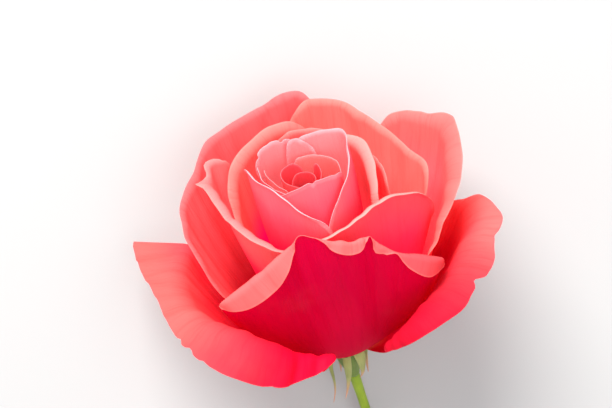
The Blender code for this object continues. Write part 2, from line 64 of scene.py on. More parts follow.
# ---- petals, from the heart outwards ------------------------------------------
# root: cup number at the root.  claw: azimuth and half width of the root.
# roll: how far the rim turns out.  fold: the share of the rim that the turn takes.
# crisp: the same share at the rim's first end.  flare: how slowly a long claw widens.  grid: columns, body rows, rim rows.
# rim: (azimuth, cup number, length up the cup, length of turned rim[, roll])
PETALS = {
    # innermost scroll, one side
    "petal_core_a": dict(root=0, claw=(20, 80), roll=10, grid=(8, 6, 1), rim=[(-120, 0, 56, 1), (-60, 0.01, 58.5, 1), (20, 0.02, 59.5, 1),
         (100, 0.03, 59.5, 1), (150, 0.035, 55, 1)]),
    # innermost scroll, other side
    "petal_core_b": dict(root=0.08, claw=(200, 50), roll=20, grid=(8, 6, 1), rim=[(78, 0.065, 59, 1), (112, 0.07, 63, 1), (170, 0.08, 63.5, 1),
         (230, 0.085, 63, 1), (300, 0.085, 60, 1)]),
    # wraps the scroll on the right
    "petal_core_c": dict(root=0.125, claw=(330, 45), roll=30, grid=(8, 6, 1), rim=[(247, 0.125, 60, 1), (275, 0.13, 63, 1), (305, 0.122, 62.4, 1),
         (330, 0.1, 62.2, 1), (375, 0.075, 63, 1), (408, 0.07, 60, 1)]),
    # small petal round the scroll, left
    "petal_heart_left": dict(root=0.22, claw=(196, 30), roll=40, grid=(8, 6, 1), rim=[(163, 0.235, 60, 1), (168, 0.232, 66.6, 1.2),
         (178, 0.22, 66.2, 1.2), (200, 0.19, 65.3, 1.2), (230, 0.185, 64.2, 1.2), (242, 0.19, 61, 1)]),
    # small petal round the scroll, back
    "petal_heart_back": dict(root=0.23, claw=(30, 35), roll=35, grid=(8, 6, 1), rim=[(-14, 0.26, 58, 1), (-6, 0.265, 61.5, 1.2),
         (11, 0.265, 63.3, 1.2), (46, 0.215, 63.2, 1.2), (85, 0.17, 62.6, 1.2), (98, 0.17, 59, 1)]),
    # bud, front
    "petal_bud_front": dict(root=0.355, claw=(290, 30), roll=70, grid=(9, 7, 1), rim=[(226, 0.29, 60, 1), (236, 0.29, 66, 1.5),
         (261, 0.27, 67.4, 1.5), (283, 0.265, 68.2, 1.5), (296, 0.27, 67.9, 1.5), (310, 0.28, 67.2, 1.5), (322, 0.285, 66.2, 1.5),
         (333, 0.285, 65, 1.5), (345, 0.28, 60, 1)]),
    # bud, left
    "petal_bud_left": dict(root=0.33, claw=(184, 28), roll=60, grid=(9, 7, 1), rim=[(161, 0.295, 61, 1), (166, 0.29, 68.2, 1.4),
         (180, 0.27, 66.7, 1.5), (215, 0.235, 65.2, 1.5), (236, 0.235, 64.5, 1.5), (248, 0.24, 61, 1)]),
    # bud, back right
    "petal_bud_back_r": dict(root=0.335, claw=(85, 24), roll=50, grid=(9, 7, 1), rim=[(60, 0.27, 62, 1), (68, 0.275, 65.5, 1.2),
         (78, 0.275, 67.5, 1.2), (87, 0.275, 68.5, 1.2), (94, 0.275, 67.6, 1.2), (99, 0.272, 63.5, 1.2), (102, 0.27, 57, 1)]),
    # bud, right: its edge falls steeply across the front
    "petal_bud_right": dict(root=0.407, claw=(5, 30), roll=60, grid=(9, 7, 1), rim=[(-82, 0.37, 48, 1), (-70, 0.355, 56, 1.6),
         (-57, 0.348, 60.6, 2), (-43, 0.345, 63.4, 2.2), (-27, 0.345, 65.2, 2.2), (-12, 0.35, 66.8, 2.2), (2, 0.36, 68.6, 2), (12, 0.385, 70, 1.6),
         (30, 0.42, 71, 1.5), (42, 0.37, 70.5, 1.5), (62, 0.32, 69, 1.5), (76, 0.31, 68, 1.5), (84, 0.31, 63, 1)]),
    # bud, back left
    "petal_bud_back_l": dict(root=0.445, claw=(115, 26), roll=50, grid=(9, 7, 1), rim=[(90, 0.335, 62, 1), (97, 0.335, 68, 1.5),
         (106, 0.335, 68.8, 1.5), (118, 0.34, 69.2, 1.5), (136, 0.34, 69, 1.5), (143, 0.34, 67, 1.5), (148, 0.345, 62, 1)]),
    # wraps the bud from the left to the front
    "petal_bud_wrap": dict(root=0.48, claw=(215, 30), roll=70, grid=(9, 7, 2), rim=[(140, 0.45, 58, 1), (149, 0.43, 64.4, 2),
         (160, 0.38, 66.8, 2.2), (175, 0.345, 68.6, 2.2), (195, 0.33, 69.5, 2.3), (215, 0.335, 70.2, 2.4), (232, 0.345, 69.8, 2.6),
         (246, 0.375, 68.6, 2.8), (258, 0.41, 65.9, 2.8), (268, 0.435, 63.5, 2.4), (277, 0.45, 61, 1.6), (284, 0.455, 56, 1)]),
    # turned rim to the right of the bud
    "petal_mid_right": dict(root=0.503, claw=(20, 28), roll=100, grid=(9, 7, 2), rim=[(-32, 0.48, 47, 1.5), (-22, 0.475, 53, 3), (-13, 0.46, 57, 4),
         (9, 0.465, 62, 4.6), (25, 0.48, 64.5, 4.6), (40, 0.48, 65, 3.5), (52, 0.475, 62.5, 2), (62, 0.475, 57, 1)]),
    # behind the bud
    "petal_mid_back": dict(root=0.562, claw=(88, 28), roll=60, grid=(9, 7, 1), rim=[(42, 0.56, 57, 1), (55, 0.55, 64, 2), (72, 0.55, 66.5, 2),
         (86, 0.565, 66.8, 2), (98, 0.58, 65.5, 1.5), (106, 0.585, 60, 1), (112, 0.59, 54, 1)]),
    # low in front, flaring to the right
    "petal_mid_front": dict(root=0.7, claw=(305, 30), roll=110, grid=(9, 7, 2), rim=[(258, 0.55, 54, 1), (266, 0.55, 60, 3), (289, 0.525, 60.3, 3),
         (312, 0.515, 60.2, 3), (330, 0.56, 60, 3), (340, 0.66, 61.2, 3), (346, 0.79, 61.4, 3), (350, 0.89, 58.8, 2.5), (354, 0.97, 54, 2),
         (357, 1, 47, 1)]),
    # between the bud and the tall back petal, right
    "petal_mid_behind": dict(root=0.64, claw=(0, 26), roll=60, grid=(9, 7, 1), rim=[(-18, 0.62, 46, 1), (-4, 0.61, 53, 2), (3, 0.6, 58, 2),
         (16, 0.6, 60, 2), (31, 0.62, 60, 2), (44, 0.63, 54, 1)]),
    # wide arch round the bud, left
    "petal_arch_left": dict(root=0.67, claw=(130, 30), roll=85, grid=(10, 7, 2), rim=[(68, 0.8, 48, 1), (76, 0.8, 57, 2), (83, 0.785, 63.6, 3.3),
         (90, 0.755, 66.2, 4.4), (98, 0.725, 66.6, 4.6), (113, 0.68, 65.3, 4.5), (130, 0.665, 62.5, 4.5), (140, 0.65, 58.5, 4), (150, 0.62, 53, 3),
         (165, 0.565, 48, 2), (178, 0.53, 42, 1)]),
    # folded corner on the left
    "petal_fold_left": dict(root=0.82, claw=(205, 28), roll=100, grid=(10, 7, 3), rim=[(128, 0.78, 58, 1), (134, 0.8, 67.6, 2),
         (141, 0.84, 69.4, 2.8), (146, 0.81, 67.8, 2), (152, 0.765, 65.4, 7), (157, 0.715, 65.3, 4.6), (163, 0.665, 64.8, 4.9),
         (175, 0.6, 63.2, 4.8), (187, 0.56, 61.6, 4.6), (200, 0.535, 61, 4.6), (216, 0.54, 60.8, 4.8), (232, 0.56, 60.2, 4), (243, 0.58, 60, 3),
         (250, 0.58, 54, 1)]),
    # tall petal behind
    "petal_back_tall": dict(root=0.8, claw=(45, 30), roll=45, grid=(9, 7, 2), rim=[(-3, 0.93, 52, 1), (0, 0.94, 58, 2), (5, 0.94, 63, 3),
         (20, 0.87, 64, 3), (36, 0.85, 66, 3), (52, 0.89, 69, 3), (64, 0.93, 72, 3), (76, 0.93, 73, 3), (84, 0.89, 70, 2), (92, 0.88, 62, 1)]),
    # broad front petal, its rim rolled out in three lobes
    "petal_front": dict(root=0.895, claw=(270, 30), roll=150, fold=0.45, grid=(13, 7, 3), rim=[(213, 1.09, 57, 1), (216, 1.06, 58.5, 4),
         (223, 0.93, 59, 8.5), (232, 0.79, 60.5, 9.5), (243, 0.69, 62.5, 7.5), (253, 0.66, 66.2, 3), (260, 0.655, 68.6, 1), (267, 0.66, 68, 1),
         (273, 0.67, 66.3, 2), (280, 0.68, 64.5, 4.2), (288, 0.695, 63.2, 5.2), (294, 0.7, 62.5, 4.5), (300, 0.71, 62.2, 0.8), (304, 0.77, 59.5, 4),
         (309, 0.87, 58, 1.5), (314, 0.98, 58, 6), (319, 1.08, 57.5, 8), (323, 1.13, 56.5, 5.5), (327, 1.15, 52, 1)]),
    # tall outer petal, back left
    "petal_left_tall": dict(root=1.06, claw=(140, 30), roll=45, grid=(9, 7, 2), rim=[(72, 1, 62, 1), (78, 1.01, 72, 2), (84, 1.05, 76, 3),
         (98, 1.06, 74, 3), (116, 1.08, 72.5, 3), (124, 1.09, 72, 3), (139, 1.05, 67, 3), (160, 1.04, 64, 3), (172, 1.01, 59, 3),
         (187, 0.97, 50, 3), (197, 0.95, 42, 1)]),
    # tall outer petal, back right
    "petal_right_tall": dict(root=1.08, claw=(22, 30), roll=50, grid=(9, 7, 3), rim=[(-27, 1, 45, 2), (-24, 1.01, 48, 2.8), (-12, 1.045, 53, 5.8),
         (-2, 1.09, 59, 8.4), (8, 1.13, 65.3, 9.5), (16, 1.17, 69.5, 9), (22, 1.2, 70.8, 7), (31, 1.2, 69.9, 4.5), (38, 1.19, 69.2, 4),
         (45, 1.18, 67, 4), (51, 1.16, 63, 2), (56, 1.13, 55.5, 1)]),
    # laid open to the right
    "petal_spread_right": dict(root=1.26, claw=(-6, 30), roll=70, flare=1.5, grid=(10, 7, 3), rim=[(-84, 1.24, 36, 2, 90),
         (-80, 1.24, 38.5, 3.5, 95), (-74, 1.23, 41, 6, 98), (-68, 1.22, 44, 9, 98), (-60, 1.21, 46, 14, 94), (-50, 1.195, 46.5, 18.5, 90),
         (-40, 1.195, 46.5, 19.5, 82), (-29, 1.205, 47, 19, 74), (-16, 1.245, 48.5, 15.4, 68), (-10, 1.265, 49.4, 16.4, 66),
         (-3, 1.285, 50, 14.2, 66), (8, 1.31, 50.5, 9, 66), (14, 1.33, 50, 3.5, 60), (21, 1.33, 45.5, 1, 60)]),
    # laid open to the left and front
    "petal_spread_left": dict(root=1.2, claw=(200, 32), roll=60, fold=0.6, crisp=0.2, flare=1.5, grid=(10, 7, 3), rim=[(151, 1.25, 50.4, 25, 69),
         (155, 1.26, 51, 21.3, 76), (164, 1.26, 51.2, 15.6, 60), (176, 1.24, 50.5, 13, 52), (192, 1.22, 51, 12, 54), (206, 1.19, 53, 13.5, 68),
         (220, 1.17, 54, 18, 78), (232, 1.165, 53, 20, 86), (242, 1.17, 49.5, 18, 90), (250, 1.175, 45.5, 14, 90), (258, 1.18, 43, 11, 90),
         (266, 1.19, 41.5, 8.2, 88), (272, 1.195, 40.7, 5.4, 84), (277, 1.2, 39.8, 2.4, 70)]),
    # outermost, under the left side
    "petal_under_left": dict(root=1.44, claw=(119, 28), roll=60, grid=(9, 7, 3), rim=[(97, 1.26, 44, 1), (103, 1.3, 48, 4), (115, 1.33, 50, 6),
         (128, 1.33, 49.5, 6), (137, 1.29, 46, 4), (143, 1.26, 41, 1)]),
    # outermost, under the right side
    "petal_under_right": dict(root=1.44, claw=(52, 28), roll=60, grid=(9, 7, 3), rim=[(26, 1.34, 42, 2), (32, 1.37, 46, 4), (44, 1.38, 49, 6),
         (60, 1.36, 50, 6), (72, 1.32, 48, 4), (78, 1.28, 43, 1)]),
}

# sepals: azimuth, length, width, turn of the tip (degrees), sideways bend of the tip
SEPALS = {"sepal_1": (215, 20.5, 2.3, 20, -1.8), "sepal_2": (261, 17, 2.9, 4, -3.2), "sepal_3": (298, 12, 4.2, -34, -1.0),
          "sepal_4": (44, 20, 4.2, 2, 0.8), "sepal_5": (112, 18, 4.2, 10, 0.6)}


# ---- curves ----------------------------------------------------------------
def smooth_curve(x, xs, ys):
    """curve through knots that never overshoots them, level beyond the ends"""
    x = np.asarray(x, float); xs = np.asarray(xs, float); ys = np.asarray(ys, float)
    h = np.diff(xs); d = np.diff(ys) / h
    m = np.zeros(len(xs)); m[0] = d[0]; m[-1] = d[-1]
    for i in range(1, len(xs) - 1):
        if d[i - 1] * d[i] > 0:
            a = 2 * h[i] + h[i - 1]; b = h[i] + 2 * h[i - 1]
            m[i] = (a + b) / (a / d[i - 1] + b / d[i])
    k = np.clip(np.searchsorted(xs, x, side="right") - 1, 0, len(xs) - 2)
    t = np.clip((x - xs[k]) / h[k], 0, 1)
    return ((2 * t**3 - 3 * t**2 + 1) * ys[k] + (t**3 - 2 * t**2 + t) * h[k] * m[k]
            + (-2 * t**3 + 3 * t**2) * ys[k + 1] + (t**3 - t**2) * h[k] * m[k + 1])


def ease(t):
    t = np.clip(t, 0, 1)
    return t * t * (3 - 2 * t)


def cup_tables():
    """radius, height and slope along every cup"""
    cups = np.arange(0.0, CUP[-1] + 1e-9, CUP_STEP)
    s = np.arange(0.0, S_MAX + 1e-9, S_STEP)
    R = np.zeros((len(cups), len(s))); Z = R.copy(); A = R.copy()
    for i, c in enumerate(cups):
        a, b, e = (smooth_curve(c, CUP, q) for q in (LEAN_ROOT, LEAN_KNEE, LEAN_HIGH))
        t = np.clip(s / S_KNEE, 0, 1); u = np.clip((s - S_KNEE) / (S_HIGH - S_KNEE), 0, None)
        lean = np.radians(a + (b - a) * (1 - (1 - t)**1.6) + (e - b) * u)
        cs, sn = np.cos(lean), np.sin(lean)
        R[i] = smooth_curve(c, CUP, BASE_R) + np.concatenate([[0], np.cumsum((cs[1:] + cs[:-1]) / 2) * S_STEP])
        Z[i] = smooth_curve(c, CUP, BASE_Z) + np.concatenate([[0], np.cumsum((sn[1:] + sn[:-1]) / 2) * S_STEP])
        A[i] = lean
    return R, Z, A


CUP_R, CUP_Z, CUP_A = cup_tables()


def on_cup(c, s):
    fi = np.clip(c / CUP_STEP, 0, CUP_R.shape[0] - 1.001); fj = np.clip(s / S_STEP, 0, CUP_R.shape[1] - 1.001)
    i = fi.astype(int); j = fj.astype(int); a = fi - i; b = fj - j
    return tuple(T[i, j] * (1 - a) * (1 - b) + T[i + 1, j] * a * (1 - b) + T[i, j + 1] * (1 - a) * b
                 + T[i + 1, j + 1] * a * b for T in (CUP_R, CUP_Z, CUP_A))


# ---- petal surface -----------------------------------------------------------
HI_U, HI_B, HI_L = 161, 81, 24


def petal_sheet(p):
    """fine middle surface of one petal: body rows, then turned-rim rows"""
    st = sorted(p["rim"])
    th, cu, sc, lp = (np.array([q[i] for q in st], float) for i in range(4))
    rl = np.array([q[4] if len(q) > 4 else p["roll"] for q in st], float)
    u = np.linspace(0, 1, HI_U)
    top = th[0] + (th[-1] - th[0]) * u
    s_c = smooth_curve(top, th, sc); lip = smooth_curve(top, th, lp)
    mid, half = p["claw"]
    w0 = min(half / ((th[-1] - th[0]) / 2), 0.95)
    s = np.linspace(0, 1, HI_B)[:, None] * s_c[None, :]
    w = w0 + (1 - w0) * (1 - (1 - np.clip(s / (SPREAD * float(sc.max())), 0, 1))**2)
    if "flare" in p:                       # a slow widening, for a petal with a long narrow claw
        w = w0 + (1 - w0) * np.clip(s / float(sc.max()), 0, 1)**p["flare"]
    az = mid + (top[None, :] - mid) * w
    own = smooth_curve(np.clip(az, th[0], th[-1]), th, cu)
    c = p["root"] + (own - p["root"]) * ease(s / BLEND)
    r, z, a = on_cup(c, s)
    azr = np.radians(az)
    body = np.stack([r * np.cos(azr), r * np.sin(azr), z], -1)
    # the rim turns outwards, square to its own line
    C = body[-1]
    T = np.gradient(C, axis=0)
    k = np.exp(-0.5 * (np.arange(-9, 10) / 4.0)**2); k /= k.sum()
    T = np.stack([np.convolve(np.pad(T[:, i], 9, mode="edge"), k, mode="valid") for i in range(3)], -1)
    T /= np.linalg.norm(T, axis=1, keepdims=True)
    ac, ar = a[-1], azr[-1]
    M = np.stack([np.cos(ac) * np.cos(ar), np.cos(ac) * np.sin(ar), np.sin(ac)], -1)
    N = np.cross(T, M); N /= np.linalg.norm(N, axis=1, keepdims=True)
    D = np.cross(N, T)
    roll = np.radians(smooth_curve(top, th, rl)) * np.minimum(1.0, lip / 3.0)
    share = np.full(HI_U, p.get("fold", 1.0))
    if "crisp" in p:                       # the turn is tighter at the rim's first end
        share = p["crisp"] + (share - p["crisp"]) * ease(u / 0.22)
    ang = roll[None, :] * np.clip(np.linspace(0, 1, HI_L + 1)[:, None] / share[None, :], 0, 1)
    cs, sn = np.cos(ang), np.sin(ang)
    f = np.concatenate([np.zeros((1, HI_U)), np.cumsum((cs[1:] + cs[:-1]) / 2, axis=0) / HI_L]) * lip
    g = np.concatenate([np.zeros((1, HI_U)), np.cumsum((sn[1:] + sn[:-1]) / 2, axis=0) / HI_L]) * lip
    rim = C[None] + D[None] * f[..., None] + N[None] * g[..., None]
    return np.concatenate([body, rim[1:]])


# ---- placing ---------------------------------------------------------------
_t = math.radians(LIE_TILT)
TURN = np.array([[-1, 0, 0], [0, -math.sin(_t), -math.cos(_t)], [0, -math.cos(_t), math.sin(_t)]])


def hip_profile():
    dome = [(r, z - PETAL_THICK / 2 - GAP) for r, z in zip(BASE_R, BASE_Z)][:6]
    return dome + [(5.75, -0.75), (5.3, -1.6), (4.7, -2.8), (4.25, -4.6), (3.7, -7.0), (3.0, -9.6), (2.3, -12.0), (1.9, -HIP_DEPTH)]


# where the flower's own origin is: the hip is turned about the axis, so its lowest corner places it
_ring = np.array([(r * math.cos(2 * math.pi * i / 20), r * math.sin(2 * math.pi * i / 20), z) for r, z in hip_profile() for i in range(20)])
PLACE = np.array(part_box("hip")[0]) - (_ring @ TURN.T * MM).min(0)


def to_world(P):
    """flower frame in millimetres to the row frame in metres"""
    return np.asarray(P) @ TURN.T * MM + PLACE


def srgb(r, g, b):
    f = lambda c: c / 12.92 if c <= 0.04045 else ((c + 0.055) / 1.055)**2.4
    return (f(r / 255), f(g / 255), f(b / 255), 1.0)


# ---- meshes ----------------------------------------------------------------
def mesh_object(name, verts, quads, uv=None, data=None):
    """verts in metres; uv and data are one row per vertex"""
    me = bpy.data.meshes.new(name)
    me.from_pydata([tuple(v) for v in verts], [], [tuple(q) for q in quads])
    me.update()
    if uv is not None:
        layer = me.uv_layers.new(name="surface")
        idx = np.empty(len(me.loops), dtype=np.int32)
        me.loops.foreach_get("vertex_index", idx)
        layer.data.foreach_set("uv", np.asarray(uv, np.float32)[idx].ravel())
    if data is not None:
        a = me.attributes.new("tissue", "FLOAT_COLOR", "POINT")
        a.data.foreach_set("color", np.asarray(data, np.float32).ravel())
    me.shade_smooth()
    o = bpy.data.objects.new(name, me)
    bpy.context.scene.collection.objects.link(o)
    return o


def normals(P):
    Pu = np.gradient(P, axis=1); Pv = np.gradient(P, axis=0)
    N = np.cross(Pu, Pv)
    L = np.linalg.norm(N, axis=-1, keepdims=True)
    return N / np.maximum(L, 1e-9)


def at(H, r, c):
    r = np.clip(r, 0, H.shape[0] - 1.0001); c = np.clip(c, 0, H.shape[1] - 1.0001)
    i = r.astype(int); j = c.astype(int); a = (r - i)[..., None]; b = (c - j)[..., None]
    return (H[i, j] * (1 - a) * (1 - b) + H[i + 1, j] * a * (1 - b) + H[i, j + 1] * (1 - a) * b
            + H[i + 1, j + 1] * a * b)


def sheet_to_solid(P, N, thick, uv, dist, along, pale_lit_rim=None):
    """closed petal from its middle surface: inner face, outer face, and a rounded edge between them.
    The tissue colour holds: 1 on the inner face to 0 on the outer, distance to the rim / 10 mm, place along, and how
    strongly the rim shows pale, partly a paler margin and partly a painted highlight."""
    nv, nu, _ = P.shape
    th = thick[..., None] / 2
    A = P - N * th; B = P + N * th                    # A faces the flower's axis, B faces away
    verts = [A.reshape(-1, 3), B.reshape(-1, 3)]
    n = nv * nu
    k = lambda j, i: j * nu + i
    quads = []
    for j in range(nv - 1):
        for i in range(nu - 1):
            a, b, c, d = k(j, i), k(j, i + 1), k(j + 1, i + 1), k(j + 1, i)
            quads.append((a, d, c, b)); quads.append((n + a, n + b, n + c, n + d))
    # walk once round the sheet's edge
    loop = [(0, i) for i in range(nu)] + [(j, nu - 1) for j in range(1, nv)]
    loop += [(nv - 1, i) for i in range(nu - 2, -1, -1)] + [(j, 0) for j in range(nv - 2, 0, -1)]
    E = np.array([P[j, i] for j, i in loop]); NE = np.array([N[j, i] for j, i in loop])
    tan = np.roll(E, -1, 0) - np.roll(E, 1, 0)
    tan /= np.maximum(np.linalg.norm(tan, axis=1, keepdims=True), 1e-9)
    out = np.cross(tan, NE); out /= np.maximum(np.linalg.norm(out, axis=1, keepdims=True), 1e-9)
    te = np.array([thick[j, i] for j, i in loop])[:, None]
    verts.append(E + out * te * 0.42)
    m = len(loop)
    for q in range(m):
        r = (q + 1) % m
        a = k(*loop[q]); b = k(*loop[r])
        quads.append((a, b, 2 * n + r, 2 * n + q))
        quads.append((2 * n + q, 2 * n + r, n + b, n + a))
    U = np.concatenate([uv.reshape(-1, 2), uv.reshape(-1, 2), np.array([uv[j, i] for j, i in loop])])
    dd, al = dist.reshape(-1), along.reshape(-1)
    el = [k(j, i) for j, i in loop]
    face = np.concatenate([np.ones(n), np.zeros(n), np.full(m, 0.5)])
    br = (np.ones_like(P[..., 0]) if pale_lit_rim is None else np.broadcast_to(pale_lit_rim, P.shape[:2])).reshape(-1)
    D = np.stack([face, np.concatenate([dd, dd, dd[el]]), np.concatenate([al, al, al[el]]), np.concatenate([br, br, br[el]])], -1)
    return np.concatenate(verts), quads, U, D


# rim shape of each petal: corner radius, wave height, wave length, ripple of the body, nicks (place, depth, width)
RIM = {
    "core": (2.5, 0.03, 9, 0.00, ()), "heart": (2.5, 0.05, 10, 0.03, ()), "bud": (3.0, 0.06, 14, 0.04, ()),
    "mid": (5.0, 0.12, 18, 0.08, ()), "arch": (5.0, 0.16, 22, 0.10, ()), "fold": (4.0, 0.16, 18, 0.10, ()),
    "back": (5.0, 0.30, 24, 0.16, ()), "front": (3.5, 0.16, 16, 0.14, ((0.60, 0.9, 0.012), (0.72, 0.6, 0.010))),
    "left": (4.5, 0.35, 26, 0.20, ()), "right": (4.0, 0.30, 26, 0.20, ()),
    "spread": (3.0, 0.38, 22, 0.22, ()), "under": (6.0, 0.50, 20, 0.24, ()),
}
UNEVEN = {"core": 0.04, "heart": 0.09, "bud": 0.10, "front": 0.07}      # how uneven the rim is, in mm, where not 0.14
NICKS = {
    "petal_spread_left": ((0.52, 0.9, 0.010), (0.575, 1.3, 0.012), (0.63, 0.7, 0.008), (0.80, 0.5, 0.010)),
    "petal_spread_right": ((0.402, 2.3, 0.013), (0.372, 1.4, 0.034), (0.60, 0.6, 0.012)),
    "petal_bud_front": ((0.50, 0.9, 0.020),), "petal_bud_back_l": ((0.35, 0.9, 0.03), (0.72, 0.8, 0.025)),
    "petal_fold_left": ((0.14, 0.8, 0.018),),
}
CORNER = {"petal_spread_left": 0.6, "petal_spread_right": 2.0, "petal_bud_back_r": 1.5, "petal_fold_left": 1.6}
# pale edge along each petal's rim: places across the petal and how strongly it shows; partly a paler margin, partly a
# painted highlight that is stronger where the rim catches more light
RIM_PALE_AND_LIT = {"core": ((0, .22),), "heart": ((0, .30),), "bud": ((0, .40),), "mid": ((0, .35),), "arch": ((0, .22),), "fold": ((0, .3), (1, .3)),
        "back": ((0, .18),), "front": ((0, .35),), "left": ((0, .15),), "right": ((0, .2),), "spread": ((0, .12),), "under": ((0, .1),),
        "petal_bud_wrap": ((0, 1.1), (.15, .8), (.5, 1.6), (.8, 1.7), (1, 1.2)), "petal_bud_right": ((0, .9), (.38, .9), (.52, .45), (1, .3)),
        "petal_bud_front": ((0, .35), (.4, .5), (1, .7)), "petal_mid_front": ((0, .8), (.45, .9), (.7, .7), (.85, .25), (1, .15))}
NV = 74
CREASE = {"spread": 0.085, "under": 0.06, "left": 0.06, "right": 0.06, "back": 0.05, "front": 0.035, "fold": 0.03, "arch": 0.03}


def fine_petal(name, p, seed):
    rnd = np.random.RandomState(seed)
    kind = name.split("_")[1]
    corner, wave, wlen, ripple, nicks = RIM[kind]
    nicks = NICKS.get(name, nicks); corner = CORNER.get(name, corner)
    crease = CREASE.get(kind, 0.0); NU = 116 if crease > 0.032 else 76
    H = petal_sheet(p)
    seg = np.linalg.norm(np.diff(H, axis=0), axis=-1)
    L = np.concatenate([np.zeros((1, H.shape[1])), np.cumsum(seg, axis=0)])      # length up each column
    total = L[-1]
    top = H[-1]; step = np.linalg.norm(np.diff(top, axis=0), axis=-1)
    rim_at = np.concatenate([[0], np.cumsum(step)]); width = rim_at[-1]
    side = np.minimum(rim_at, width - rim_at)
    c = min(corner, 0.3 * width)
    x = np.clip(1 - side / c, 0, 1)
    cutoff = c * (1 - np.sqrt(np.clip(1 - x * x, 0, 1)))
    for place, depth, w in nicks:
        cutoff = cutoff + depth * np.exp(-((rim_at / width - place) / w)**2)
    for k in range(4):                                 # the rim is never quite even
        f = (2.0 + 3.1 * k) * rnd.uniform(0.85, 1.15)
        cutoff = cutoff + UNEVEN.get(kind, 0.14) / (1 + k) * (1 + np.sin(2 * math.pi * f * rim_at / width + rnd.uniform(0, 6.28)))
    keep = np.maximum(total - cutoff, 0.5 * total)
    u = np.linspace(0, 1, NU); u = 0.8 * u + 0.2 * (0.5 - 0.5 * np.cos(math.pi * u))
    t = np.linspace(0, 1, NV); q = 1 - (1 - t)**1.6
    cols = u * (H.shape[1] - 1)
    ci = np.arange(H.shape[1])
    R = np.empty((NV, H.shape[1]))
    for i in range(H.shape[1]):
        R[:, i] = np.interp(q * keep[i], L[:, i], np.arange(H.shape[0]))
    RR = np.stack([np.interp(cols, ci, R[j]) for j in range(NV)])
    P = at(H, RR, np.broadcast_to(cols, RR.shape))
    N = normals(P)
    mid = P[NV // 2, NU // 2]; out = np.array([mid[0], mid[1], 0.0])
    if float(N[NV // 2, NU // 2] @ out) < 0:
        N = -N
    # waves of the rim and broad ripples of the body
    x_mm = (u * width)[None, :]; v = q[:, None]
    rim_w = sum(rnd.uniform(0.5, 1.0) * np.sin(2 * math.pi * x_mm / (wlen * s) + rnd.uniform(0, 6.28)) for s in (1.0, 1.7, 0.62))
    up = np.clip((v - 0.62) / 0.38, 0, 1)**1.8
    y_mm = v * float(np.mean(keep))
    body = sum(np.sin(2 * math.pi * (x_mm / (11 * s) + y_mm / (34 * s)) + rnd.uniform(0, 6.28)) for s in (1.0, 1.6))
    inward = np.clip((v - 0.25) / 0.35, 0, 1)
    fine = sum(np.sin(2 * math.pi * (x_mm / (6.4 * s) + y_mm / (70 * s)) + rnd.uniform(0, 6.28) + 1.3 * np.sin(x_mm / 9.0 + y_mm / 13.0)) for s in (1.0, 1.45))
    body = body + fine * crease / (0.6 * ripple + 1e-6) * np.clip((v - 0.45) / 0.4, 0, 1)
    P = P + N * (wave * up * rim_w + ripple * inward * body * 0.6)[..., None]
    N2 = normals(P); N = np.where((N2 * N).sum(-1, keepdims=True) < 0, -N2, N2)
    dist_top = keep[None, :] * 0 + 0
    kc = np.interp(cols, ci, keep)[None, :]
    dist_top = (1 - v) * kc
    acr = np.linalg.norm(np.diff(P, axis=1), axis=-1)
    left = np.concatenate([np.zeros((NV, 1)), np.cumsum(acr, axis=1)], axis=1)
    dist = np.minimum(dist_top, np.minimum(left, left[:, -1:] - left))
    thick = 0.44 - 0.24 * np.clip(v, 0, 1)**1.2 + 0 * x_mm
    thick = thick * (0.55 + 0.45 * np.clip(dist / 1.5, 0, 1)) + 0.05
    uv = np.stack(np.broadcast_arrays(u[None, :], v), -1)
    e = RIM_PALE_AND_LIT.get(name, RIM_PALE_AND_LIT[kind])
    pale_lit_rim = np.interp(u, [a for a, _ in e], [b for _, b in e])[None, :]
    V, F, U, D = sheet_to_solid(P, N, thick, uv, np.clip(dist / 10, 0, 1), np.broadcast_to(v, dist.shape), pale_lit_rim)
    return mesh_object("rose_" + name, to_world(V), F, U, D)


# ---- materials ----------------------------------------------------------------
class Tree:
    def __init__(self, name):
        self.m = bpy.data.materials.new(name); self.m.use_nodes = True
        self.t = self.m.node_tree; self.t.nodes.clear()

    def node(self, kind, inputs=None, **props):
        n = self.t.nodes.new(kind)
        for k, v in props.items():
            setattr(n, k, v)
        for k, v in (inputs or {}).items():
            if hasattr(v, "is_linked") or hasattr(v, "links"):
                self.t.links.new(v, n.inputs[k])
            else:
                n.inputs[k].default_value = v
        return n

    def math(self, op, a, b=0.0, clamp=False):
        return self.node("ShaderNodeMath", {0: a, 1: b}, operation=op, use_clamp=clamp).outputs[0]

    def mix(self, f, a, b, blend="MIX"):
        n = self.node("ShaderNodeMix", data_type="RGBA", blend_type=blend)
        for s, v in ((n.inputs[0], f), (n.inputs[6], a), (n.inputs[7], b)):
            if hasattr(v, "links"):
                self.t.links.new(v, s)
            else:
                s.default_value = v
        return n.outputs[2]

    def span(self, x, lo, hi, a=0.0, b=1.0):
        return self.node("ShaderNodeMapRange", {0: x, 1: lo, 2: hi, 3: a, 4: b}, interpolation_type="SMOOTHSTEP", clamp=True).outputs[0]

    def noise(self, vec, scale, detail=2.0, rough=0.5):
        return self.node("ShaderNodeTexNoise", {"Vector": vec, "Scale": scale, "Detail": detail, "Roughness": rough}).outputs["Fac"]
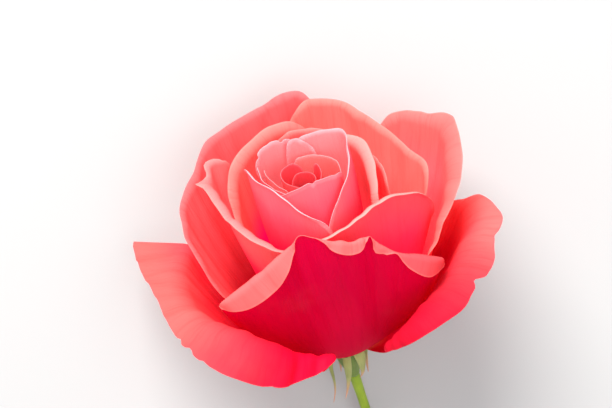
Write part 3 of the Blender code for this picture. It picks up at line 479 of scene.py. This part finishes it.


# inner face: root, middle, rim; outer face: root, middle, rim; pale edge and its width in mm. The dark roots and the
# front petal's dark crimson outer face are partly the petals' own colour and partly painted shade of the cup's depths
# and creases; the pale rims are partly paler tissue and partly painted light shining through the thin rims.
PETAL_LOOK = {
    "core": ((236, 0, 66), (246, 0, 72), (254, 104, 116), (246, 0, 76), (252, 44, 86), (254, 120, 126), (255, 188, 196), 0.6),
    "heart": ((250, 0, 96), (255, 156, 160), (255, 176, 172), (252, 36, 112), (255, 134, 144), (255, 152, 152), (255, 200, 208), 0.7),
    "bud": ((252, 0, 130), (255, 194, 200), (255, 198, 200), (250, 4, 104), (255, 114, 140), (255, 138, 152), (255, 206, 214), 1.9),
    "mid": ((254, 0, 140), (255, 140, 150), (255, 158, 152), (255, 0, 146), (255, 70, 130), (255, 108, 124), (255, 176, 168), 1.1),
    "arch": ((254, 0, 140), (254, 104, 120), (255, 140, 132), (252, 10, 124), (254, 94, 114), (255, 140, 132), (255, 180, 170), 0.9),
    "fold": ((254, 20, 140), (255, 166, 174), (255, 146, 144), (246, 26, 104), (254, 140, 148), (255, 150, 150), (255, 170, 160), 0.7),
    "back": ((254, 0, 124), (255, 162, 154), (255, 152, 142), (250, 0, 70), (252, 50, 78), (254, 110, 112), (255, 164, 154), 0.6),
    "front": ((250, 0, 80), (254, 90, 100), (254, 126, 124), (190, 0, 60), (201, 0, 70), (212, 0, 74), (255, 158, 148), 0.6),
    "left": ((190, 0, 50), (254, 106, 116), (254, 130, 132), (250, 0, 66), (252, 50, 78), (254, 110, 112), (255, 140, 134), 0.6),
    "right": ((255, 0, 140), (255, 134, 144), (255, 134, 129), (250, 0, 66), (252, 50, 78), (254, 110, 112), (255, 176, 160), 0.6),
    "spread": ((214, 0, 60), (252, 66, 84), (254, 113, 108), (238, 0, 60), (244, 20, 66), (250, 60, 84), (255, 104, 112), 0.4),
    "spreadr": ((192, 0, 66), (232, 26, 70), (254, 124, 120), (238, 0, 60), (244, 20, 66), (250, 60, 84), (255, 96, 116), 0.4),
    "under": ((238, 0, 60), (250, 24, 66), (252, 72, 82), (238, 0, 60), (244, 20, 66), (250, 60, 84), (255, 140, 130), 0.5),
}
# painted shade: some petals pass to a deeper red towards one end, the end that lies in shade: places along the petal,
# and how far
SHADED_END = {"spread": (0.40, 0.76, 0.97), "spreadr": (0.76, 0.24, 0.95), "front": (0.74, 0.90, 0.50)}
SHADE_RED = {"spread": (238, 0, 58), "spreadr": (212, 0, 50), "front": (226, 0, 56)}
# how far up the inner face the deep colour of the root reaches, where it is not 0.24 to 0.60; this dark root is partly
# the petal's own deeper base and partly painted shade down in the cup and its creases
ROOT_AND_SHADE_REACH = {"spread": (0.44, 0.78), "spreadr": (0.50, 0.84), "left": (0.40, 0.74), "bud": (0.18, 0.50), "arch": (0.54, 0.84)}
PALE_CLAW = (236, 196, 150)
INNER = ("heart", "bud", "mid", "arch", "fold", "back", "right")
SOAKED = 0.14


def petal_material(kind):
    look = PETAL_LOOK[kind]; T = Tree("petal_" + kind)
    iroot, imid, irim, oroot, omid, orim, edge = (srgb(*c) for c in look[:7]); ew = look[7]
    uv = T.node("ShaderNodeUVMap", uv_map="surface").outputs[0]
    att = T.node("ShaderNodeAttribute", attribute_name="tissue")
    sep = T.node("ShaderNodeSeparateColor", {0: att.outputs["Color"]})
    face, dist, along, pale_lit_rim = sep.outputs[0], sep.outputs[1], sep.outputs[2], att.outputs["Alpha"]
    obj = T.node("ShaderNodeTexCoord").outputs["Object"]
    # the veins fan up from the root: long thin cells in the sheet's own coordinates, pushed about a little
    wob = T.noise(obj, 90.0, 2.0)
    bend = T.node("ShaderNodeVectorMath", {0: uv, 1: T.node("ShaderNodeCombineXYZ", {0: T.math("MULTIPLY", T.math("SUBTRACT", wob, 0.5), 0.035)}).outputs[0]}, operation="ADD").outputs[0]
    stretch = lambda x, y: T.node("ShaderNodeMapping", {"Vector": bend, "Scale": (x, y, 1.0)}).outputs[0]
    coarse = T.noise(stretch(42.0, 2.2), 1.0, 2.0, 0.55)
    fine = T.noise(stretch(150.0, 6.0), 1.0, 3.0, 0.6)
    vein = T.span(coarse, 0.50, 0.66); hair = T.span(fine, 0.48, 0.68)
    cloud = T.noise(obj, 55.0, 3.0, 0.5)
    grain = T.noise(obj, 2600.0, 2.0, 0.6)
    shift = T.math("ADD", along, T.math("MULTIPLY", T.math("SUBTRACT", cloud, 0.5), 0.16))
    # painted shade: the dark root colour runs up the inner face to these bounds, standing for shade deep in the cup as
    # well as for the petal's deeper base
    lo, hi = ROOT_AND_SHADE_REACH.get(kind, (0.24, 0.60))
    inner = T.mix(T.span(shift, lo, hi), iroot, imid)
    inner = T.mix(T.span(shift, 0.60, 0.97), inner, irim)
    # on the outer face the dark root colour is also partly painted shade; on the bud and the folded corner it reaches
    # far up over the low parts that lie in shade
    outer = T.mix(T.span(shift, *{"bud": (0.60, 0.88), "fold": (0.58, 0.90)}.get(kind, (0.16, 0.52))), oroot, omid)
    outer = T.mix(T.span(shift, *{"arch": (0.50, 0.88), "bud": (0.84, 1.0)}.get(kind, (0.62, 0.99))), outer, orim)
    col = T.mix(face, outer, inner)
    deep = T.mix(0.45, (1, 1, 1, 1), imid if kind != "front" else omid, "MULTIPLY")
    drawn = 1.5 if kind in ("spread", "spreadr", "under", "left", "right", "back") else 1.0    # veins show most on the open petals
    strong = T.math("MULTIPLY", vein, 0.20 * drawn)
    col = T.mix(strong, col, deep, "MULTIPLY")
    col = T.mix(T.math("MULTIPLY", hair, 0.13 * drawn), col, deep, "MULTIPLY")
    col = T.mix(T.math("MULTIPLY", T.span(cloud, 0.55, 0.75), 0.015 if kind == "front" else 0.03), col, (1.0, 0.80, 0.72, 1.0))
    # painted shade: towards one end the petal turns a deeper red where it lies in shade; on the front petal only on
    # its inner face
    if kind in SHADED_END:
        across = T.math("ADD", T.node("ShaderNodeSeparateXYZ", {0: uv}).outputs[0], T.math("MULTIPLY", T.math("SUBTRACT", cloud, 0.5), 0.14))
        share = T.math("MULTIPLY", T.span(across, *SHADED_END[kind][:2]), SHADED_END[kind][2])
        col = T.mix(T.math("MULTIPLY", share, face) if kind == "front" else share, col, srgb(*SHADE_RED[kind]))
    # pale claw at the very root; at the rim a pale thin edge, partly a paler margin and partly a painted highlight of
    # light on and through the thin rim
    col = T.mix(T.math("MULTIPLY", T.span(along, 0.15, 0.02), 0.7), col, srgb(*PALE_CLAW))
    rim = T.span(T.math("ADD", dist, T.math("MULTIPLY", T.math("SUBTRACT", T.noise(obj, 500.0, 2.0), 0.5), 0.05)), ew / 10, 0.02 * ew)
    col = T.mix(T.math("MULTIPLY", rim, pale_lit_rim), col, edge)
    if kind in ("spread", "spreadr", "front", "under"):           # small bruised specks
        vor = T.node("ShaderNodeTexVoronoi", {"Vector": obj, "Scale": 120.0}, feature="F1").outputs["Distance"]
        rare = T.span(T.noise(obj, 75.0, 0.0), 0.62, 0.66)
        speck = T.math("MULTIPLY", T.span(vor, 0.10, 0.04), rare)
        col = T.mix(T.math("MULTIPLY", speck, 0.75), col, srgb(120, 0, 30))
    h = T.math("ADD", T.math("MULTIPLY", vein, -0.6), T.math("ADD", T.math("MULTIPLY", hair, -0.35), T.math("MULTIPLY", grain, 0.25)))
    bump = T.node("ShaderNodeBump", {"Strength": 0.35, "Distance": 0.00025, "Height": h}).outputs[0]
    rough = T.math("ADD", 0.44, T.math("MULTIPLY", cloud, 0.2))
    b = T.node("ShaderNodeBsdfPrincipled", {"Base Color": col, "Roughness": rough, "Normal": bump})
    b.inputs["Specular IOR Level"].default_value = 0.05 if kind in SHADED_END else 0.12
    b.inputs["Sheen Weight"].default_value = 0.015 if kind in SHADED_END else 0.04
    b.inputs["Sheen Roughness"].default_value = 0.4
    b.inputs["Sheen Tint"].default_value = (1.0, 0.40, 0.42, 1.0)
    b.inputs["Subsurface Weight"].default_value = 0.0
    glow = T.node("ShaderNodeBsdfTranslucent", {"Color": T.mix(0.5, col, srgb(255, 0, 84)), "Normal": bump})
    mix = T.node("ShaderNodeMixShader", {0: 0.46, 1: b.outputs[0], 2: glow.outputs[0]}).outputs[0]
    if kind in INNER:                # light that has soaked down through the crowded petals
        soaked = T.node("ShaderNodeEmission", {"Color": T.mix(0.35, col, srgb(255, 0, 96)), "Strength": T.span(along, 0.92, 0.45, 0.0, SOAKED)})
        mix = T.node("ShaderNodeAddShader", {0: mix, 1: soaked.outputs[0]}).outputs[0]
    T.node("ShaderNodeOutputMaterial", {0: mix})
    return T.m


def green_material(name, low, high, streak, tip=None, end=None, rough=0.45, stretch=(60.0, 60.0, 8.0)):
    """plant tissue: long streaks, mottling, and a different colour towards a tip or on a cut end (tissue red)"""
    T = Tree(name)
    tis = T.node("ShaderNodeAttribute", attribute_name="tissue").outputs["Color"]
    sep = T.node("ShaderNodeSeparateColor", {0: tis})
    uv = T.node("ShaderNodeUVMap", uv_map="surface").outputs[0]
    obj = T.node("ShaderNodeTexCoord").outputs["Object"]
    lines = T.noise(T.node("ShaderNodeMapping", {"Vector": uv, "Scale": (34.0, 4.0, 1.0)}).outputs[0], 1.0, 3.0, 0.6)
    spots = T.noise(obj, 900.0, 3.0, 0.6); cloud = T.noise(obj, 120.0, 2.0)
    col = T.mix(T.span(cloud, 0.3, 0.7), srgb(*low), srgb(*high))
    col = T.mix(T.math("MULTIPLY", T.span(lines, 0.45, 0.7), 0.45), col, srgb(*streak))
    col = T.mix(T.math("MULTIPLY", T.span(spots, 0.55, 0.72), 0.25), col, srgb(*high))
    if tip:
        col = T.mix(T.span(T.math("ADD", sep.outputs[2], T.math("MULTIPLY", T.math("SUBTRACT", cloud, 0.5), 0.3)), 0.45, 0.95), col, srgb(*tip))
    if end:
        ring = T.span(sep.outputs[1], 0.15, 0.85)
        col = T.mix(sep.outputs[0], col, T.mix(ring, srgb(*end), srgb(150, 176, 88)))
    h = T.math("ADD", lines, T.math("MULTIPLY", spots, 0.5))
    bump = T.node("ShaderNodeBump", {"Strength": 0.4, "Distance": 0.0002, "Height": h}).outputs[0]
    b = T.node("ShaderNodeBsdfPrincipled", {"Base Color": col, "Roughness": T.math("ADD", rough, T.math("MULTIPLY", spots, 0.18)), "Normal": bump})
    b.inputs["Specular IOR Level"].default_value = 0.4
    b.inputs["Sheen Weight"].default_value = 0.08
    T.node("ShaderNodeOutputMaterial", {0: b.outputs[0]})
    return T.m


# ---- the flower ------------------------------------------------------------------
mats = {k: petal_material(k) for k in PETAL_LOOK}


def keep_piece(o, node, mat):
    o.data.materials.append(mat)
    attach(o, "root"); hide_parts(node)
    return o


for n, (name, p) in enumerate(PETALS.items()):
    kind = name.split("_")[1]
    keep_piece(fine_petal(name, p, 101 + n), name, mats["spreadr" if name == "petal_spread_right" else kind])


def skin(name, rings, data, close=True):
    """closed skin through rings; the first and last ring are drawn together to a point each"""
    rings = np.asarray(rings); k, n, _ = rings.shape
    V = rings.reshape(-1, 3)
    first, last = rings[0].mean(0), rings[-1].mean(0)
    V = np.concatenate([V, [first], [last]])
    F = []
    for j in range(k - 1):
        for i in range(n):
            F.append((j * n + i, j * n + (i + 1) % n, (j + 1) * n + (i + 1) % n, (j + 1) * n + i))
    for i in range(n):
        F.append((k * n, (i + 1) % n, i)); F.append((k * n + 1, (k - 1) * n + i, (k - 1) * n + (i + 1) % n))
    uv = np.array([(abs(2 * i / n - 1), j / (k - 1)) for j in range(k) for i in range(n)] + [(0.5, 0), (0.5, 1)])
    D = np.array([data[j] for j in range(k) for i in range(n)] + [data[0], data[-1]])
    me_v = to_world(V)
    o = mesh_object(name, me_v, F, uv, D)
    # faces out
    vol = 0.0
    for f in F:
        a, b, c = me_v[f[0]], me_v[f[1]], me_v[f[2]]
        vol += float(np.dot(a - me_v[0], np.cross(b - me_v[0], c - me_v[0])))
        if len(f) == 4:
            d = me_v[f[3]]; vol += float(np.dot(a - me_v[0], np.cross(c - me_v[0], d - me_v[0])))
    if vol < 0:
        o.data.flip_normals()
    return o


def hip_piece(sides=64):
    prof = hip_profile()
    k = np.arange(len(prof)); kk = np.linspace(0, len(prof) - 1, 60)
    R = smooth_curve(kk, k, [a for a, _ in prof]); Z = smooth_curve(kk, k, [b for _, b in prof])
    rings, data = [], []
    for j, (r, z) in enumerate(zip(R, Z)):
        a = np.linspace(0, 2 * math.pi, sides, endpoint=False)
        below = float(ease((-z - 0.8) / 4)) * float(ease((z + HIP_DEPTH) / 3))
        rr = r * (1 + 0.022 * below * np.cos(5 * a + 0.6) + 0.006 * below * np.sin(13 * a + 2))
        rings.append(np.stack([rr * np.cos(a), rr * np.sin(a), np.full(sides, z)], -1)); data.append((0, 0, j / 60, 1))
    return skin("rose_hip", rings, data)


def stem_piece(sides=36, steps=120):
    bend = math.radians(LIE_TILT); arc = STEM_BEND_R * bend; total = arc + STEM_TAIL
    rings, data = [], []; p = np.array([0.0, 0.0, -HIP_DEPTH - GAP]); fine = 6
    s, ds = 0.0, total / (steps * fine)
    a = np.linspace(0, 2 * math.pi, sides, endpoint=False)
    for k in range(steps + 1):
        b = bend * min(s / arc, 1.0)
        d = np.array([STEM_LEAN, -math.sin(b), -math.cos(b)]); d /= np.linalg.norm(d)
        n1 = np.cross(d, (1.0, 0.0, 0.0)); n1 /= np.linalg.norm(n1); n2 = np.cross(d, n1)
        r = float(smooth_curve(s, [0, total * 0.18, total * 0.6, total], [STEM_R_TOP, STEM_R_MID, STEM_R_MID, STEM_R_END]))
        rr = r * (1 - 0.012 + 0.010 * np.cos(5 * a + 0.03 * s) + 0.006 * np.sin(11 * a - 0.05 * s) + 0.006 * np.sin(0.9 * s + 2 * a))
        ring = p + rr[:, None] * (np.cos(a)[:, None] * n1 + np.sin(a)[:, None] * n2)
        rings.append(ring); data.append((0, 0, s / total, 1))
        if k < steps:
            for _ in range(fine):
                b = bend * min(s / arc, 1.0)
                e = np.array([STEM_LEAN, -math.sin(b), -math.cos(b)]); e /= np.linalg.norm(e)
                p = p + e * ds; s += ds
    # the cut: a thin bark edge, then the pith standing slightly back
    for f, back in ((0.95, -0.02), (0.86, 0.10), (0.70, 0.14), (0.45, 0.12), (0.2, 0.10)):
        rings.append(p + (rings[steps] - p) * f - d * back); data.append((1, f, 1, 1))
    return skin("rose_stem", rings, data)


def sepal_piece(name, az, length, width, turn, sway, seed, nu=17, nv=60):
    rnd = np.random.RandomState(seed)
    a = math.radians(az); out = np.array([math.cos(a), math.sin(a), 0.0]); side = np.array([-math.sin(a), math.cos(a), 0.0])
    P = np.zeros((nv, nu, 3)); r, z = 6.15, -1.35; n = 600; ds = length / n; k = 0
    sway = sway + rnd.uniform(-0.4, 0.4)
    for j in range(nv):
        while k < round(n * j / (nv - 1)):
            t = k / n
            slope = math.radians(-52 - 42 * float(ease(t / 0.3)) + turn * float(ease((t - 0.45) / 0.55)))
            r += math.cos(slope) * ds; z += math.sin(slope) * ds; k += 1
        t = j / (nv - 1)
        half = 0.5 * width * (0.03 + 0.97 * (1 - t)**0.95) * (0.86 + 0.14 * math.sin(math.pi * min(t * 1.8, 1)))
        off = sway * t * t
        for i in range(nu):
            x = -1 + 2 * i / (nu - 1)
            keel = 0.30 * (1 - x * x) * (1 - t) * 0.6
            P[j, i] = out * (r - 0.35 * x * x * (1 - t) + keel * 0.4) + side * (half * x + off) + np.array([0, 0, z])
    N = normals(P)
    if float(N[nv // 3, nu // 2] @ out) < 0:
        N = -N
    v = np.linspace(0, 1, nv)[:, None]; x = np.linspace(-1, 1, nu)[None, :]
    thick = (0.46 - 0.22 * v) * (0.65 + 0.35 * (1 - x * x))
    uv = np.stack(np.broadcast_arrays((x + 1) / 2, v), -1)
    dist = np.broadcast_to((1 - np.abs(x)) * width / 2 / 10, (nv, nu))
    V, F, U, D = sheet_to_solid(P, N, thick, uv, dist, np.broadcast_to(v, (nv, nu)))
    return mesh_object("rose_" + name, to_world(V), F, U, D)


hip_mat = green_material("hip_green", (100, 122, 44), (126, 146, 66), (90, 104, 42), rough=0.5)
stem_mat = green_material("stem_green", (112, 138, 6), (142, 164, 30), (94, 120, 6), end=(206, 216, 160), rough=0.42)
sepal_mat = green_material("sepal_green", (128, 132, 64), (160, 162, 98), (104, 106, 50), tip=(206, 146, 116), rough=0.55)
keep_piece(hip_piece(), "hip", hip_mat)
keep_piece(stem_piece(), "stem", stem_mat)
for n, (name, (az, length, width, turn, sway)) in enumerate(SEPALS.items()):
    keep_piece(sepal_piece(name, az, length, width, turn, sway, 11 + n), name, sepal_mat)

# ---- floor, light, camera -----------------------------------------------------------
def floor():
    me = bpy.data.meshes.new("floor")
    s = 3.0
    me.from_pydata([(-s, -s, 0), (s, -s, 0), (s, s, 0), (-s, s, 0)], [], [(0, 1, 2, 3)]); me.update()
    o = bpy.data.objects.new("floor", me); bpy.context.scene.collection.objects.link(o)
    T = Tree("floor_paper")
    obj = T.node("ShaderNodeTexCoord").outputs["Object"]
    col = T.mix(T.noise(obj, 3.0, 2.0), (0.40, 0.40, 0.397, 1), (0.43, 0.428, 0.422, 1))
    b = T.node("ShaderNodeBsdfPrincipled", {"Base Color": col, "Roughness": 0.9})
    T.node("ShaderNodeOutputMaterial", {0: b.outputs[0]})
    me.materials.append(T.m)


def area(name, at_m, to_m, size, watts, rgb=(1, 1, 1)):
    L = bpy.data.lights.new(name, "AREA"); L.shape = "DISK"; L.size = size; L.energy = watts; L.color = rgb
    o = bpy.data.objects.new(name, L); bpy.context.scene.collection.objects.link(o)
    o.location = at_m
    o.rotation_euler = (Vector(to_m) - Vector(at_m)).to_track_quat("-Z", "Y").to_euler()


floor()
HEART = (0.0, -0.03, 0.04)
area("sky", (0.18, -1.50, 1.12), HEART, 1.26, 74.0, (1.0, 0.985, 0.97))
area("fill", (-0.25, 0.10, 1.15), HEART, 0.90, 6.5, (0.99, 0.99, 1.0))
w = bpy.data.worlds.new("studio"); w.use_nodes = True
w.node_tree.nodes["Background"].inputs[0].default_value = (0.95, 0.97, 1.0, 1.0)
w.node_tree.nodes["Background"].inputs[1].default_value = 0.84
bpy.context.scene.world = w
bpy.context.scene.view_settings.view_transform = "Standard"

# the camera looks down on the lying flower, as it would look at it upright from in front and above
LENS, SENSOR, DIST, ELEV, ROLL = 100.0, 36.0, 520.0, 38.0, 15.0
BASE_AT = (345.0, 340.0)                              # where the flower's origin falls in a 612 x 408 frame
e, ro = math.radians(ELEV), math.radians(ROLL)
look = np.array([0, math.cos(e), -math.sin(e)]); u0 = np.array([0, math.sin(e), math.cos(e)]); r0 = np.array([1.0, 0, 0])
right = math.cos(ro) * r0 - math.sin(ro) * u0; up = math.sin(ro) * r0 + math.cos(ro) * u0
F = 612 * LENS / SENSOR
eye = -look * DIST - right * ((BASE_AT[0] - 306) / F * DIST) - up * (-(BASE_AT[1] - 204) / F * DIST)
cam = bpy.data.cameras.new("camera"); cam.lens = LENS; cam.sensor_width = SENSOR; cam.clip_start = 0.01
co = bpy.data.objects.new("camera", cam); bpy.context.scene.collection.objects.link(co)
Rw = np.stack([TURN @ right, TURN @ up, TURN @ -look], -1)
M = Matrix([list(Rw[i]) + [float(to_world(eye)[i])] for i in range(3)] + [[0, 0, 0, 1]])
co.matrix_world = M
bpy.context.scene.camera = co

bpy.context.view_layer.update()
